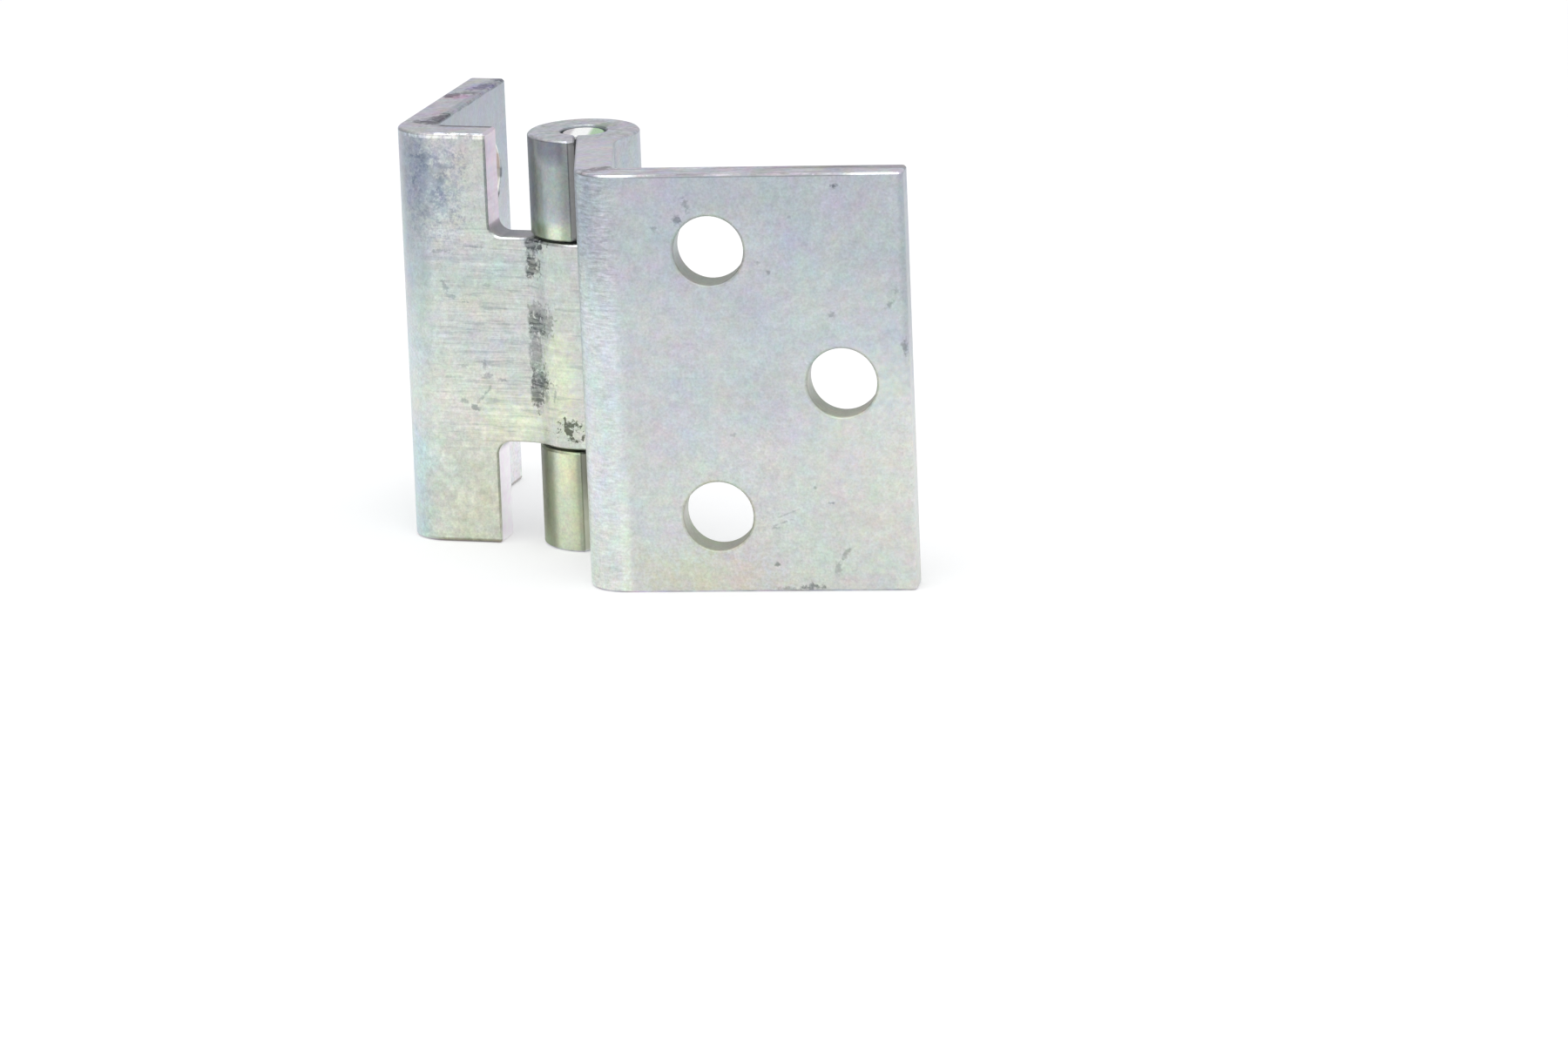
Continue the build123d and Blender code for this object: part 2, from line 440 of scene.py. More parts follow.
FLANGE_MARKS = (
    ((16.9, 31.2), (0.35, 1.1), -25, 0.55),
    ((16.4, 30.2), (0.9, 0.35), 20, 0.5),
    ((14.6, 29.5), (0.9, 0.22), 0, 0.7),
    ((11.6, 31.6), (0.8, 0.25), 0, 0.45),
    ((15.1, 21.7), (0.7, 0.3), 0, 0.4),
    ((12.1, 20.5), (0.9, 0.4), 0, 0.6),
    ((10.1, 20.1), (0.7, 0.3), 0, 0.7),
    ((12.4, 21.8), (0.4, 0.7), 0, 0.5),
    ((12.6, 18.2), (1.7, 0.28), -48, 0.55),
    ((15.2, 17.4), (0.8, 0.4), 0, 0.6),
    ((13.8, 16.6), (0.8, 0.5), 20, 0.85),
    ((17.4, 35.6), (1.3, 0.35), 0, 0.5),
    ((13.5, 36.4), (2.0, 0.25), 0, 0.4),
    ((3.0, 18.9), (0.25, 1.3), 8, 0.6),
    ((2.2, 16.9), (0.9, 0.3), -20, 0.35),
)
FLANGE_MARK_SOFT = 0.6
FLANGE_MARK_TINT = (0.48, 0.52, 0.56)

# Sheared edges of the angle leaf. Blots here have their centres out along the leaf and across it.
# Dark patches on the leg's top: soil, with painted shade in the inner corner by the flange
LEG_TOP_SOIL_AND_SHADE = (
    ((19.2, -4.4), (1.9, 4.6), -10, 0.7, 1.0),
    ((19.8, -1.9), (3.2, 1.6), -20, 0.7, 1.0),
    ((22.3, -17.3), (1.8, 1.8), 0, 0.6, 1.0),
    ((20.7, -18.8), (1.7, 1.1), 0, 0.7, 0.8),
    ((20.2, -22.4), (1.4, 4.0), -12, 0.8, 0.8),
    ((19.2, -26.8), (1.2, 1.2), 0, 0.6, 0.7),
)
# Painted shade along the back top edge of the flange, and on the leg's rounded inner top edge
FLANGE_BACK_EDGE_SHADE = {"across": (LEAF_BACK - 0.3, LEAF_BACK + 0.7, 0.5), "out": (18.6, 17.6)}
LEG_TOP_SOIL_AND_SHADE_TINT = (0.33, 0.32, 0.35)
LEG_TOP_INNER_EDGE = {"out": (LEG_INSIDE - 0.2, LEG_INSIDE + 0.8, 0.5), "across": (-5, -8)}
LEG_TOP_EDGE_SHADE = {"painted bluish shade on the inner edge": ((0.78, 0.82, 0.86), LEG_TOP_INNER_EDGE)}
ROSY_BLOT = ((21.2, -16.7), (2.2, 1.8), 0, 0.7)
ROSY_TINT = (1.10, 0.76, 0.92)
VIOLET_BLOT = ((20.4, -22.6), (2.0, 4.0), 0, 0.8)
VIOLET_TINT = (0.90, 0.88, 1.14)
ANGLE_WORN_START = 0.42
# Painted highlight in beads along the top front edge of the flange
PAINTED_HIGHLIGHT_ZONE = {"height": (TOP - 0.62, TOP - 0.25, 0.12)}
PAINTED_HIGHLIGHT_BEADS = ((0.9, 0.9, 0.3), 4, 0.7)
HIGHLIGHT_BEAD_LEVELS = (0.38, 0.56)
PAINTED_HIGHLIGHT_TINT = (1.75, 1.72, 1.66)
LOWER_EDGE_TINTS = {"brown soil": ((0.52, 0.48, 0.42), {"height": (0.6, 0.3), "out": (21.5, 18)})}

# Notches of the angle leaf, by the depths from its top and bottom at which their faces start and are full
NOTCH_DEPTHS = (12, 11)
NOTCH_FACE = {"out": (NOTCH_EDGE + 0.5, NOTCH_EDGE + 0.2), "across": (3.6, 3.3)}
NOTCH_MOTTLES = (((0.7, 3, 0.6, "Color"), 0.3),)
# Painted light on the lower notch's face, stronger towards the foot
LOWER_NOTCH_PAINTED_LIGHT = {"pale": ((1.42, 1.48, 1.42), {"height": (24, 14)})}
# Painted shade on top of the tab and in the corner of the notch above it, under the knuckle
TAB_TOP_ZONE = {"height": (TAB_HIGH - 0.12, TAB_HIGH + 1.3, 0.3), "out": (12.6, 11.6), "across": (3.5, 3.2)}
TAB_TOP_PAINTED_SHADE = {"dull": ((0.58, 0.54, 0.57), TAB_TOP_ZONE)}

# Holes of the leg
LEG_BEYOND = {"out": (LEG_INSIDE - 0.5, LEG_INSIDE - 0.2)}
HOLE_SOIL_ZONE = {"height": (39.6, 41.2, 0.4)}
# Painted shade on the lower walls of the leg's holes
LOW_WALL_SHADE = (0.94, 0.92, 0.89)
RIM_SPOTS = ((38.6, 39.4, 0.4), (35.6, 36.6, 0.4))
RIM_SPOT_TINT = (0.50, 0.49, 0.49)
LEG_RIM_TINT = (1.12, 1.10, 1.06)


def leg_hole_places():
    """Centres of the leg's holes: across the leaf from the pin axis, and height."""
    turn = radians(ANGLE_LEAF_TURN)
    places = []
    for name in ("leg_upper_hole", "leg_lower_hole"):
        spot = Vector(MOUNTS[name]["pos_m"]) / MM
        places.append(((spot.y - PIN.y) * cos(turn) - (spot.x - PIN.x) * sin(turn), spot.z))
    return places


def brush_flange(graph, color, point, front):
    """Flange with blotches, brushed along its length. Gives its colour, its lines and the tab's mask."""
    color = graph.vary(color, graph.noise(point, *BLOTCH_NOISE), graph.product(front, BLOTCH_AMOUNT))
    foot = graph.mask(FOOT_STAIN_ZONE, front, FOOT_STAIN_AMOUNT)
    color = graph.vary(color, graph.noise(point, *FOOT_STAIN_NOISE), foot)
    tab = graph.mask(TAB_ZONE, front)
    lines = graph.streaks(point, *LINES)
    color = graph.vary(color, lines, graph.math("MULTIPLY_ADD", tab, TAB_LINE_AMOUNT, LINE_AMOUNT))
    scores = graph.step(graph.streaks(point, *SCORES), *SCORE_LEVELS)
    color = graph.stain(color, graph.product(scores, tab, SCORE_STRENGTH), SCORE_TINT)
    brushed = graph.mask(STROKE_ZONE, front, graph.step(graph.places["out"], *STROKE_AMOUNTS))
    strokes = graph.streaks(point, *STROKES)
    dark = graph.product(graph.step(strokes, *DARK_STROKE_LEVELS), brushed)
    pale = graph.product(graph.step(strokes, *PALE_STROKE_LEVELS), brushed)
    color = graph.stain(color, dark, DARK_STROKE_TINT)
    color = graph.stain(color, pale, PALE_STROKE_TINT)
    return color, lines, tab


def soil_flange(graph, color, point, ragged, front):
    """Flange with clouds, with dark smudges along the kink and specks below them, and with marks."""
    face = graph.join(graph.places["out"], graph.places["height"])
    cloud = graph.product(graph.blot(face, ragged, *BLUE_CLOUD), front)
    color = graph.stain(color, cloud, BLUE_CLOUD_TINT)
    dark = graph.step(graph.noise(point, *CLOUD_NOISE), *CLOUD_LEVELS)
    color = graph.stain(color, graph.product(cloud, dark), DARK_CLOUD_TINT)
    cream = graph.patches(face, ragged, CREAM_CLOUDS)
    color = graph.stain(color, graph.product(cream, front), CREAM_CLOUD_TINT)
    smudges = graph.mask(SMUDGE_SIDE, graph.marks(face, ragged, KINK_SMUDGES, SMUDGE_SOFT))
    streaks = graph.step(graph.streaks(point, *SMUDGE_STREAKS), *SMUDGE_STREAK_LEVELS)
    color = graph.stain(color, graph.product(smudges, streaks, front), SMUDGE_TINT)
    specks = graph.step(graph.noise(point, *SPECK_NOISE), *SPECK_LEVELS)
    specks = graph.product(graph.blot(face, ragged, *SPECKS), front, specks)
    color = graph.stain(color, specks, SPECK_TINT)
    marks = graph.marks(face, ragged, FLANGE_MARKS, FLANGE_MARK_SOFT)
    return graph.stain(color, graph.product(marks, front), FLANGE_MARK_TINT)


def shear_angle_leaf(graph, color, point, ragged):
    """Sheared edges of the angle leaf, with dark patches of soil on the leg's top, and painted shade in its inner
    corner, along the flange's back edge and along the leg's inner edge.
    """
    plan = graph.join(graph.places["out"], graph.places["across"])
    edge, edge_color = sheared(graph, point)
    # Soil and painted shade on the leg's top, and painted shade along the flange's back edge
    patches = graph.strongest(graph.patches(plan, ragged, LEG_TOP_SOIL_AND_SHADE), graph.mask(FLANGE_BACK_EDGE_SHADE))
    edge_color = graph.stain(edge_color, patches, LEG_TOP_SOIL_AND_SHADE_TINT)
    edge_color = graph.tint(edge_color, LEG_TOP_EDGE_SHADE)
    edge_color = graph.stain(edge_color, graph.blot(plan, ragged, *ROSY_BLOT), ROSY_TINT)
    edge_color = graph.stain(edge_color, graph.blot(plan, ragged, *VIOLET_BLOT), VIOLET_TINT)
    return graph.mix(edge, color, edge_color)


def color_notches(graph, color, point):
    """Sheared faces of the notches: rosy beside the flange, with painted light on the lower one, and painted shade
    on top of the tab and in the notch's corner above it.
    """
    beside = graph.mask(NOTCH_FACE, ends(graph, *NOTCH_DEPTHS))
    notch_color = graph.tint(graph.mottle(NOTCH_ZINC, point, NOTCH_MOTTLES), LOWER_NOTCH_PAINTED_LIGHT)
    return graph.tint(graph.mix(beside, color, notch_color), TAB_TOP_PAINTED_SHADE)


def color_leg_holes(graph, color):
    """Walls of the leg's holes: cream, with painted light that makes them near-white, soil, painted shade on their
    lower walls, and a pale rim that has dark spots.
    """
    height = graph.places["height"]
    side = graph.join(graph.places["across"], height)
    walls, low_walls, rims = hole_masks(graph, side, leg_hole_places())
    beyond = graph.mask(LEG_BEYOND)
    wall_color = graph.mix(graph.mask(HOLE_SOIL_ZONE), LEG_HOLE_PAINTED_LIGHT, LEG_HOLE_SOIL)
    color = graph.mix(graph.product(walls, beyond), color, wall_color)
    color = graph.stain(color, graph.product(low_walls, beyond), LOW_WALL_SHADE)
    spots = graph.strongest(*[graph.band(height, *spot) for spot in RIM_SPOTS])
    color = graph.stain(color, graph.product(rims, beyond, spots), RIM_SPOT_TINT)
    return graph.stain(color, graph.product(rims, beyond), LEG_RIM_TINT)


def angle_leaf_material():
    graph = Graph(bpy.data.materials.new("angle_leaf_zinc"))
    point = graph.place((PIN.x, PIN.y, 0), ANGLE_LEAF_TURN)
    out, across, height = graph.split(point)[:3]
    graph.places = {"out": out, "across": across, "height": height}
    front = graph.mask(FLANGE_FRONT)
    ragged = ragged_outline(graph, point)
    color, grain = zinc(graph, point, graph.math("DIVIDE", height, TOP))

    # Faces of the sheet
    color = graph.tint(color, FLANGE_TINTS, front)
    color = graph.tint(color, ANGLE_BEND_PAINTED_LIGHT)
    color = graph.tint(color, LEG_INNER_PAINTED_LIGHT, graph.mask(LEG_INNER_FACE))
    color, lines, tab = brush_flange(graph, color, point, front)
    color = soil_flange(graph, color, point, ragged, front)

    # Edges, with worn patches, a painted highlight in beads along the flange's top front edge, and brown soil
    # along its bottom edge
    color = shear_angle_leaf(graph, color, point, ragged)
    worn = worn_edge(graph, point, ANGLE_WORN_START)
    color = graph.stain(color, worn, WORN_TINT)
    highlight_beads = graph.step(graph.streaks(point, *PAINTED_HIGHLIGHT_BEADS), *HIGHLIGHT_BEAD_LEVELS)
    color = graph.stain(color, graph.mask(PAINTED_HIGHLIGHT_ZONE, highlight_beads, front), PAINTED_HIGHLIGHT_TINT)
    color = graph.tint(color, LOWER_EDGE_TINTS)
    color = color_notches(graph, color, point)
    color = color_leg_holes(graph, color)

    line_relief = graph.math("MULTIPLY_ADD", tab, TAB_LINE_RELIEF, LINE_RELIEF)
    relief = graph.math("MULTIPLY_ADD", lines, line_relief, grain)
    return leaf_metal(graph, color, grain, lines, worn, relief)


# Plate leaf. Places on its plate run along the face and in depth in the frame's axes, and up. Places on its
# knuckles run out along the leaf from the pin axis and across it.
PLATE_FRONT = {"depth": (PLATE_FACE + 1.5, PLATE_FACE + 0.5)}
WARM_CLOUD = ((31.5, 15.0), (12.0, 19.0), 0, 0.95)
WARM_LEVEL = -0.25
WARM_TINT = (1.11, 1.09, 1.08)
PLATE_LINES = ((0.25, 0.25, 1.8), 4, 0.6)
PLATE_LINE_AMOUNT = 0.25
BEND_TICKS = ((0.7, 0.7, 3.2), 3, 0.65)
TICK_AMOUNTS = (24, 38, 0.7, 1.3)
TICK_RELIEF = 1.5
BEND_DEPTHS = (-20, -22)
PLATE_BEND = {"along": (-1.0, -3.2), "depth": BEND_DEPTHS}
# Painted pale blue reflection on the lower part of the bend
PLATE_BEND_PAINTED_LIGHT = {"painted pale blue reflection below": ((1.17, 1.20, 1.21), {"height": (44, 28)})}
BEND_TOP = {"along": (-4.2, -5.4), "height": (34, 46), "depth": BEND_DEPTHS}
# Painted shade at the top of the bend and at the top of the free edge
PLATE_SIDE_PAINTED_SHADE = {
    "painted shade at the top of the bend": ((0.84, 0.88, 0.90), BEND_TOP),
    "painted shade at the top of the free edge": ((0.84, 0.85, 0.87), {"along": (30.9, 31.6), "height": (22, 34)}),
}
# Painted green highlight low on the bend
PLATE_FACE_PAINTED_HIGHLIGHT = {"painted green highlight on the bend": ((1.08, 1.12, 1.05), {"along": (-2.6, -2.0, 0.5), "height": (18, 4)})}
CREAM_FOOT = ((7.0, 2.0), (12.0, 4.0), 0, 0.9)
CREAM_FOOT_TINT = (1.02, 1.0, 0.90)
WALL_TINT = (0.90, 0.89, 0.84)
# Painted shade on the lower walls of the holes
LOWER_WALL_SHADE = (0.80, 0.79, 0.74)
RIM_TINT = (1.10, 1.10, 1.02)
PLATE_MARKS = (
    ((23.8, 48.5), (0.6, 0.28), -10, 1.0),
    ((6.3, 46.5), (0.45, 1.2), 20, 0.5),
    ((5.4, 44.6), (0.7, 0.6), 30, 0.75),
    ((15.5, 3.3), (0.4, 0.45), 0, 0.8),
    ((23.5, 4.4), (0.4, 1.2), -35, 0.55),
    ((22.7, 2.9), (0.5, 1.0), -10, 0.4),
    ((19.4, 0.5), (1.8, 0.55), 0, 0.9),
    ((16.8, 0.3), (1.6, 0.4), 0, 0.5),
    ((16.3, 8.3), (1.6, 0.16), 18, 0.4),
    ((17.2, 9.5), (1.7, 0.14), 22, 0.35),
    ((15.6, 7.7), (0.9, 0.16), 5, 0.4),
    ((22.2, 10.6), (0.4, 0.25), 0, 0.7),
    ((20.2, 12.5), (0.3, 0.25), 0, 0.5),
    ((31.4, 29.2), (0.5, 1.3), 0, 0.65),
    ((29.8, 34.3), (0.9, 0.4), 40, 0.5),
    ((30.6, 36.1), (0.5, 0.8), 0, 0.35),
    ((23.0, 33.1), (0.6, 0.5), 0, 0.45),
    ((18.4, 44.8), (0.3, 0.25), 0, 0.4),
    ((11.0, 18.9), (0.5, 0.35), 0, 0.4),
    ((15.8, 38.2), (0.35, 0.3), 0, 0.5),
    ((14.6, 39.4), (0.5, 0.3), 0, 0.4),
    ((2.6, 43.6), (0.5, 0.4), 0, 0.35),
)
PLATE_MARK_SOFT = 0.8
PLATE_MARK_TINT = (0.36, 0.39, 0.40)

# Knuckles of the plate leaf: painted light and shade on their round sides, with a painted green and yellow
# reflection below, painted shade at the top, by the seam and beside the flange, and painted highlights down the
# middle
KNUCKLE_REACH = (KNUCKLE_RADIUS + 0.6, KNUCKLE_RADIUS + 0.1)
KNUCKLE_SIDE = {"out": (-3, 0), "across": (1, -1)}
LOWER_HEIGHTS = (28, 22)
FOOT_OF_UPPER = (37, 39.0, 1.5)
BODY_OF_UPPER = (39, 46, 1.5)
# Painted light and shade on the knuckles: a yellow reflection at the upper one's foot, highlights down the middle,
# and shade at the top, at the sides, by the seam and beside the flange
KNUCKLE_PAINTED_LIGHT = {
    "painted shade at the top": ((0.78, 0.80, 0.78), {"height": (38.5, 42.5)}),
    "painted yellow reflection at the foot of the upper one": ((1.12, 1.14, 0.92), {"height": FOOT_OF_UPPER}),
    "its painted shaded side": ((0.52, 0.55, 0.50), {"height": FOOT_OF_UPPER, "across": (-5.6, -5.1, 0.7)}),
    "its painted highlight down the middle": ((1.25, 1.20, 1.15), {"height": FOOT_OF_UPPER, "across": (-4.0, -3.2, 0.5)}),
    "painted violet shade at the shoulder": ((0.64, 0.63, 0.70), {"height": (46.5, 48.5), "across": (-5.2, -2.8, 0.6)}),
    "painted highlight down the middle above it": ((1.12, 1.13, 1.10), {"height": BODY_OF_UPPER, "across": (-4.4, -2.6, 0.4)}),
    "painted shaded side above it": ((0.78, 0.79, 0.74), {"height": BODY_OF_UPPER, "across": (-5.7, -5.2, 0.4)}),
    "painted shade beside the flange": ((0.92, 0.93, 0.86), {"across": (-4.8, -6.0)}),
    "painted shade by the seam": ((0.70, 0.71, 0.66), {"across": (-3.7, -2.3)}),
    "less painted shade by the seam at the foot": ((1.25, 1.22, 1.22), {"across": (-3.7, -2.3), "height": (9, 2)}),
}
# Painted light and shade on the lower knuckle: a green and yellow reflection, a highlight down the middle, and
# shade beside the flange and by the seam
LOWER_KNUCKLE_PAINTED_LIGHT = {
    "painted green and yellow reflection": ((1.12, 1.18, 0.94), {}),
    "painted deep shade beside the flange": ((0.48, 0.48, 0.46), {"across": (-4.5, -5.5)}),
    "painted shade by the seam": ((0.66, 0.68, 0.70), {"across": (-2.6, -2.1)}),
    "painted highlight down the middle": ((1.14, 1.08, 1.0), {"across": (-4.2, -2.8, 0.6), "height": (6, 10)}),
}
KNUCKLE_NOISE = (1.2, 4, 0.7, "Color")
KNUCKLE_NOISE_AMOUNTS = (0.42, 0.12)
# Painted light in the seam's groove: a grey that takes the place of the zinc's colour, paler towards the foot
GROOVE_LIGHT = {"across": (-1.85, -1.65)}
GROOVE_LIGHT_LEVELS = (10, 3, 0.60, 0.85)
LOWER_GROOVE_LIGHT_TINT = (0.98, 1.0, 0.90)

# Sheared edges of the plate leaf, with the top of its knuckle
LEG_STREAKS = ((0.22, 1.6, 1.0), 3, 0.6)
LEG_STREAK_ZONE = {"out": (20, 22)}
LEG_STREAK_AMOUNT = 1.4
DISC_ZONE = {"out": (7, 4)}
DISC_NOISE = (0.8, 3, 0.6)
DISC_AMOUNT = 0.9
PLATE_TOP_TINTS = {
    "pale leg": ((1.08, 1.08, 1.08), {"out": (6, 9)}),
    "dull disc": ((0.92, 0.94, 0.93), DISC_ZONE),
    "dark rear": ((0.62, 0.60, 0.60), {"depth": (PLATE_FACE + 1.6, PLATE_FACE + 3.4), "along": (12, 24)}),
}
# Painted shade in the corner where the leg meets the plate
CORNER_SHADE_BLOT = ((22.5, 2.3), (1.5, 3.8), 30, 0.8)
CORNER_SHADE_TINT = (0.42, 0.40, 0.41)
GREEN_BLOT = ((-2.3, 2.5), (1.9, 1.8), 0, 0.8)
GREEN_TINT = (0.66, 0.82, 0.62)
BORE_REACH = (PIN_RADIUS - 0.1, PIN_RADIUS + 0.12, 0.08)
SEAM_LINE = {"across": (SEAM - 0.25, SEAM + 0.15, 0.1), "out": (PIN_RADIUS, 6.8, 0.2)}
BORE_TOP = {"height": (TOP - 0.8, TOP - 0.5)}
BORE_RIM_TINT = (0.68, 0.68, 0.69)
PLATE_WORN_START = 0.30
PLATE_WORN_ZONE = {"along": (1.5, 24.0, 3.0)}


def plate_hole_places():
    """Centres of the plate's holes in the plate's own face."""
    pair = MOUNTS["plate_paired_holes"]
    single = MOUNTS["plate_single_hole"]["pos_m"]
    reach = pair["dims"]["spacing_y_mm"] / 2
    across, middle = pair["pos_m"][0] / MM, pair["pos_m"][2] / MM
    return [(across, middle + reach), (across, middle - reach), (single[0] / MM, single[2] / MM)]


def color_knuckles(graph, color, point, plan):
    """Knuckles with their painted light and shade, mottled, and with painted light in the groove of the seam."""
    height = graph.places["height"]
    knuckle = graph.mask(KNUCKLE_SIDE, graph.step(graph.distance(plan), *KNUCKLE_REACH))
    lower = graph.mask({"height": LOWER_HEIGHTS}, knuckle)
    color = graph.tint(color, KNUCKLE_PAINTED_LIGHT, knuckle)
    color = graph.tint(color, LOWER_KNUCKLE_PAINTED_LIGHT, lower)
    amount = graph.step(height, *LOWER_HEIGHTS, *KNUCKLE_NOISE_AMOUNTS)
    color = graph.vary(color, graph.noise(point, *KNUCKLE_NOISE), graph.product(knuckle, amount))
    level = graph.step(height, *GROOVE_LIGHT_LEVELS)
    color = graph.mix(graph.mask(GROOVE_LIGHT, knuckle), color, graph.join(level, level, level))
    return graph.stain(color, graph.mask(GROOVE_LIGHT, lower), LOWER_GROOVE_LIGHT_TINT)


def shear_plate_leaf(graph, color, point, plan, ragged):
    """Sheared edges of the plate leaf, with painted shade in the corner where the leg meets the plate."""
    edge, edge_color = sheared(graph, point)
    streak_amount = graph.mask(LEG_STREAK_ZONE, LEG_STREAK_AMOUNT)
    edge_color = graph.vary(edge_color, graph.streaks(point, *LEG_STREAKS), streak_amount)
    disc_amount = graph.mask(DISC_ZONE, DISC_AMOUNT)
    edge_color = graph.vary(edge_color, graph.noise(point, *DISC_NOISE), disc_amount)
    edge_color = graph.tint(edge_color, PLATE_TOP_TINTS)
    edge_color = graph.stain(edge_color, graph.blot(plan, ragged, *CORNER_SHADE_BLOT), CORNER_SHADE_TINT)
    edge_color = graph.stain(edge_color, graph.blot(plan, ragged, *GREEN_BLOT), GREEN_TINT)
    return graph.mix(edge, color, edge_color)


def plate_leaf_material():
    graph = Graph(bpy.data.materials.new("plate_leaf_zinc"))
    point = graph.place()
    along, depth, height = graph.split(point)[:3]
    out, across = graph.split(graph.place((PIN.x, PIN.y, 0), PLATE_LEAF_TURN))[:2]
    graph.places = {"along": along, "depth": depth, "height": height, "out": out, "across": across}
    face = graph.join(along, height)
    plan = graph.join(out, across)
    front = graph.mask(PLATE_FRONT)
    ragged = ragged_outline(graph, point)

    # Plate: paler and warmer towards the free edge and the foot
    warm = graph.product(graph.blot(face, ragged, *WARM_CLOUD), front)
    level = graph.math("MULTIPLY_ADD", warm, WARM_LEVEL, graph.math("DIVIDE", height, TOP))
    color, grain = zinc(graph, point, level)
    color = graph.stain(color, warm, WARM_TINT)
    lines = graph.streaks(point, *PLATE_LINES)
    color = graph.vary(color, lines, PLATE_LINE_AMOUNT)
    cream = graph.product(graph.blot(face, ragged, *CREAM_FOOT), front)
    color = graph.stain(color, cream, CREAM_FOOT_TINT)
    marks = graph.marks(face, ragged, PLATE_MARKS, PLATE_MARK_SOFT)
    color = graph.stain(color, graph.product(marks, front), PLATE_MARK_TINT)

    # Bend: painted shade at its top, a painted pale blue reflection below, covered with short level ticks; painted
    # shade at the top of the free edge, and a painted green highlight low on the bend
    bend = graph.mask(PLATE_BEND)
    ticks = graph.streaks(point, *BEND_TICKS)
    color = graph.vary(color, ticks, graph.product(bend, graph.step(height, *TICK_AMOUNTS)))
    color = graph.tint(color, PLATE_BEND_PAINTED_LIGHT, bend)
    color = graph.tint(color, PLATE_SIDE_PAINTED_SHADE)
    color = graph.tint(color, PLATE_FACE_PAINTED_HIGHLIGHT, front)

    # Holes
    walls, low_walls, rims = hole_masks(graph, face, plate_hole_places())
    color = graph.stain(color, walls, WALL_TINT)
    color = graph.stain(color, low_walls, LOWER_WALL_SHADE)
    color = graph.stain(color, rims, RIM_TINT)

    # Knuckles and edges
    color = color_knuckles(graph, color, point, plan)
    color = shear_plate_leaf(graph, color, point, plan, ragged)
    bore_line = graph.strongest(graph.band(graph.distance(plan), *BORE_REACH), graph.mask(SEAM_LINE))
    bore_rim = graph.mask(BORE_TOP, bore_line)
    color = graph.stain(color, bore_rim, BORE_RIM_TINT)
    worn = graph.mask(PLATE_WORN_ZONE, worn_edge(graph, point, PLATE_WORN_START))
    color = graph.stain(color, worn, WORN_TINT)

    relief = graph.math("MULTIPLY_ADD", ticks, graph.product(bend, TICK_RELIEF), grain)
    return leaf_metal(graph, color, grain, lines, graph.strongest(worn, rims, bore_rim), relief)


# Pin: turned ends that are near-white as a painted highlight, with a painted green reflection on one side and
# painted grey shade on the other. Places on it run along and in depth from its axis, and up.
PIN_END_DEPTHS = (0.40, 0.25)
RING_NOISE = (3.0, 3)
RING_AMOUNT = 0.15
# Painted green reflection on one side of the pin and painted grey shade on the other
PIN_END_LIGHT_AND_SHADE = {
    "green": ((0.36, 0.56, 0.33), {"along": (0.5, 1.2)}),
    "grey": ((0.56, 0.52, 0.56), {"along": (-1.0, -1.6)}),
}


def pin_material():
    graph = Graph(bpy.data.materials.new("pin_zinc"))
    along, depth, height = graph.split(graph.place((PIN.x, PIN.y, 0)))[:3]
    graph.places = {"along": along, "height": height}
    reach = graph.distance(graph.join(along, depth))
    rings = graph.noise(graph.join(reach), *RING_NOISE)
    color = graph.mix(ends(graph, *PIN_END_DEPTHS), PIN_SIDE_ZINC, PIN_END_HIGHLIGHT_WHITE)
    color = graph.tint(graph.vary(color, rings, RING_AMOUNT), PIN_END_LIGHT_AND_SHADE)
    roughness = graph.step(rings, *RING_RANGE, *PIN_ROUGHNESS)
    return graph.metal(color, roughness, rings, PIN_RELIEF, PIN_METAL_SHARE)


def round_edges(node):
    """Turns the solid's chamfered edges into small rounds."""
    node.data.shade_smooth()
    weld = node.modifiers.new("weld", "WELD")
    weld.merge_threshold = WELD_DISTANCE * MM
    flat = node.modifiers.new("flat_faces", "DECIMATE")
    flat.decimate_type = "DISSOLVE"
    flat.angle_limit = FLAT_ANGLE
    bevel = node.modifiers.new("edge_round", "BEVEL")
    bevel.limit_method = "ANGLE"
    bevel.angle_limit = SHARP_ANGLE
    bevel.width = EDGE_ROUND * MM
    bevel.segments = EDGE_STEPS
    normals = node.modifiers.new("face_normals", "WEIGHTED_NORMAL")
    normals.mode = "FACE_AREA"
    normals.keep_sharp = False


FINISHES = {"angle_leaf": angle_leaf_material, "plate_leaf": plate_leaf_material, "hinge_pin": pin_material}
for name, finish in FINISHES.items():
    node = frame["nodes"][name]
    round_edges(node)
    node.data.materials.clear()
    node.data.materials.append(finish())

# Floor: white, and it keeps the shadow. Sizes and places of the studio are in metres.
FLOOR_SIZE = 6.0
FLOOR_DROP = 0.00002
FLOOR_PALE = (0.65, 0.65, 0.65)
FLOOR_GLOW = 0.40


def floor_material():
    graph = Graph(bpy.data.materials.new("floor_white"))
    rays = graph.add("ShaderNodeLightPath").outputs
    seen = graph.strongest(rays["Is Camera Ray"], rays["Is Glossy Ray"], rays["Is Transmission Ray"])
    pale = graph.add("ShaderNodeBsdfDiffuse", {"Color": FLOOR_PALE}).outputs[0]
    glow = graph.add("ShaderNodeEmission", {"Strength": graph.math("MULTIPLY", seen, FLOOR_GLOW)}).outputs[0]
    both = graph.add("ShaderNodeAddShader", {0: pale, 1: glow}).outputs[0]
    graph.add("ShaderNodeOutputMaterial", {"Surface": both})
    return graph.owner


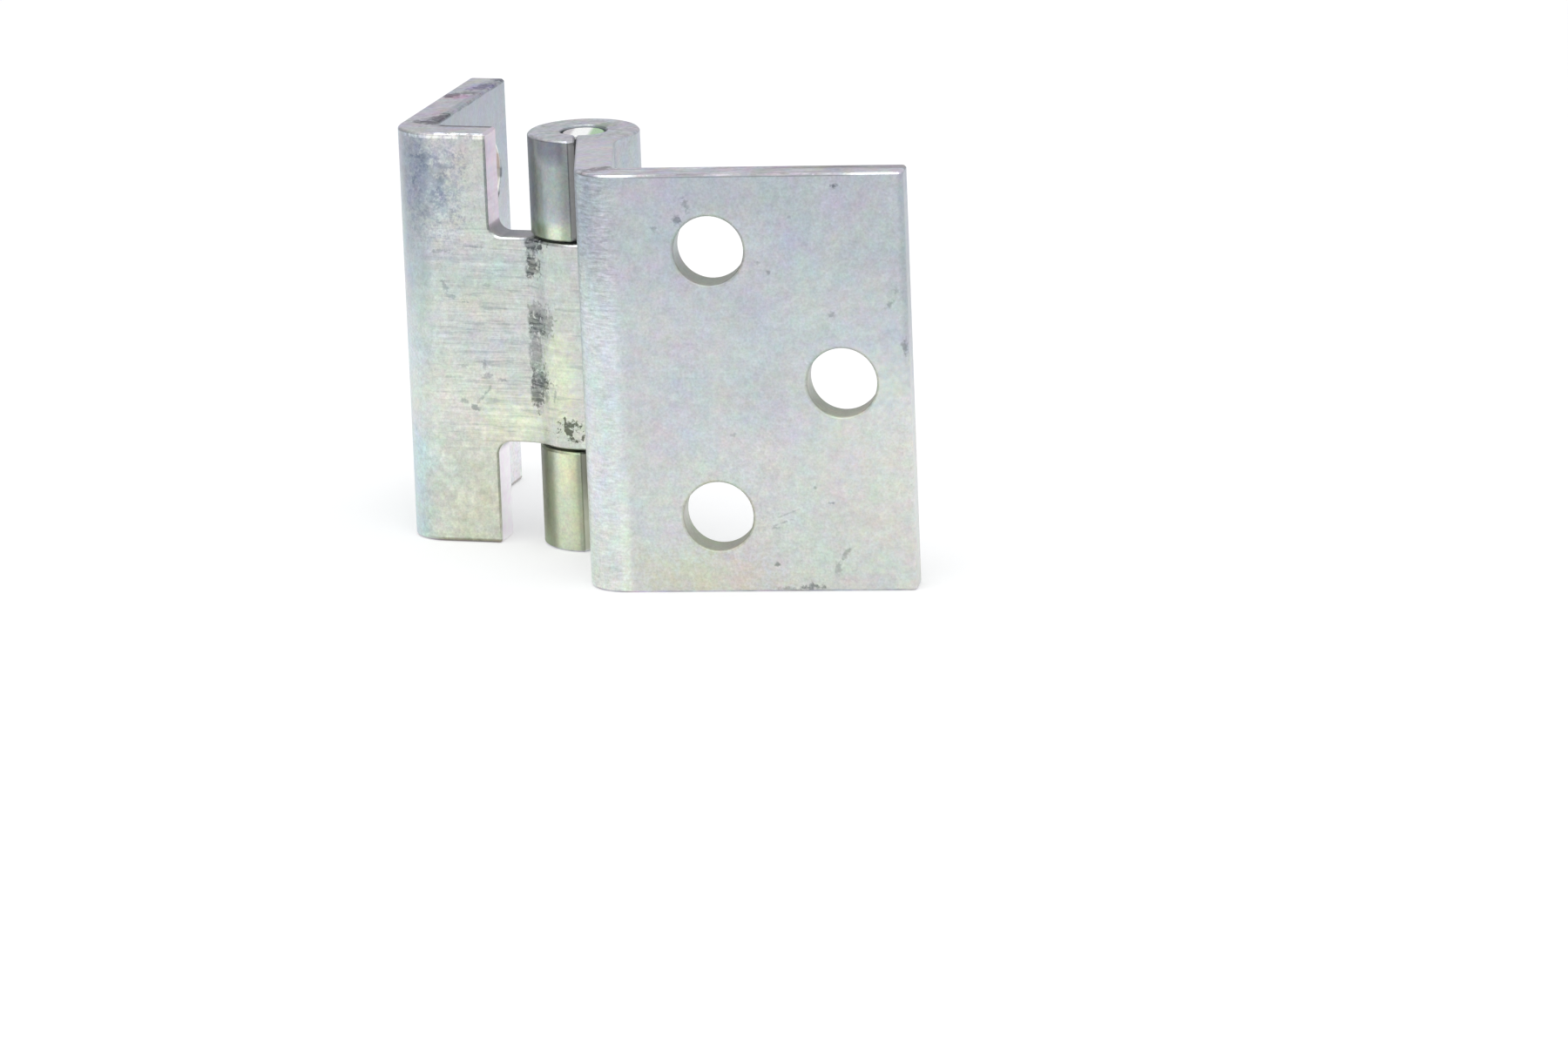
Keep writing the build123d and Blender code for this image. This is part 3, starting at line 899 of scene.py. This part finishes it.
half = FLOOR_SIZE / 2
corners = [(-half, -half, 0), (half, -half, 0), (half, half, 0), (-half, half, 0)]
floor_mesh = bpy.data.meshes.new("floor")
floor_mesh.from_pydata(corners, [], [range(len(corners))])
floor_mesh.materials.append(floor_material())
floor = bpy.data.objects.new("floor", floor_mesh)
floor.location.z = -FLOOR_DROP
bpy.context.scene.collection.objects.link(floor)

# World: a pale studio that is dimmer to the left, behind the camera and at the back.
# Each dim side has its direction, the closeness to it at which the dimming starts and is full, and the level.
WORLD_PALE = (0.88, 0.89, 0.90)
DIM_SIDES = (
    ((-1.0, -0.15, 0.1), 0.35, 0.95, 0.35),
    ((0.15, -1.0, 0.1), 0.80, 1.00, 0.80),
    ((0.0, 1.0, 0.25), 0.30, 1.00, 0.80),
)


def studio_world():
    graph = Graph(bpy.data.worlds.new("studio"))
    direction = graph.add("ShaderNodeTexCoord").outputs["Generated"]
    color = WORLD_PALE
    for side, start, full, level in DIM_SIDES:
        facing = graph.vector("DOT_PRODUCT", direction, Vector(side).normalized())["Value"]
        color = graph.stain(color, graph.step(facing, start, full), (level, level, level))
    light = graph.add("ShaderNodeBackground", {"Color": color}).outputs[0]
    graph.add("ShaderNodeOutputWorld", {"Surface": light})
    return graph.owner


bpy.context.scene.world = studio_world()

# Softbox above the hinge
SOFTBOX_PLACE = Vector((-0.1, -0.25, 0.9))
SOFTBOX_AIM = Vector((0, 0, 0.025))
SOFTBOX_SIZE = (0.7, 0.5)
SOFTBOX_POWER = 3.0

lamp = bpy.data.lights.new("overhead", "AREA")
lamp.shape = "RECTANGLE"
lamp.size, lamp.size_y = SOFTBOX_SIZE
lamp.energy = SOFTBOX_POWER
softbox = bpy.data.objects.new("overhead", lamp)
softbox.location = SOFTBOX_PLACE
softbox.rotation_euler = (SOFTBOX_AIM - SOFTBOX_PLACE).to_track_quat("-Z", "Y").to_euler()
bpy.context.scene.collection.objects.link(softbox)

# Camera, at the photograph's place: it looks at a point beside the pin axis. Only its nearest distance
# is in metres.
CAMERA_TURN = radians(-7.376)
CAMERA_RISE = radians(14.014)
CAMERA_ROLL = radians(-2.252)
CAMERA_DISTANCE = 1285.3
CAMERA_AIM = Vector((PIN.x + 22.10, PIN.y, 1.84))
CAMERA_LENS = 247.5
CAMERA_SENSOR = 36
CAMERA_NEAREST = 0.01

forward = Vector((
    sin(CAMERA_TURN) * cos(CAMERA_RISE),
    cos(CAMERA_TURN) * cos(CAMERA_RISE),
    -sin(CAMERA_RISE),
))
level_right = Vector((cos(CAMERA_TURN), -sin(CAMERA_TURN), 0))
level_up = level_right.cross(forward)
right = level_right * cos(CAMERA_ROLL) + level_up * sin(CAMERA_ROLL)
up = level_up * cos(CAMERA_ROLL) - level_right * sin(CAMERA_ROLL)
eye = (CAMERA_AIM - forward * CAMERA_DISTANCE) * MM

lens = bpy.data.cameras.new("camera")
lens.lens = CAMERA_LENS
lens.sensor_width = CAMERA_SENSOR
lens.clip_start = CAMERA_NEAREST
camera = bpy.data.objects.new("camera", lens)
camera.matrix_world = Matrix.Translation(eye) @ Matrix((right, up, -forward)).transposed().to_4x4()
bpy.context.scene.collection.objects.link(camera)
bpy.context.scene.camera = camera

bpy.context.scene.view_settings.view_transform = "Standard"
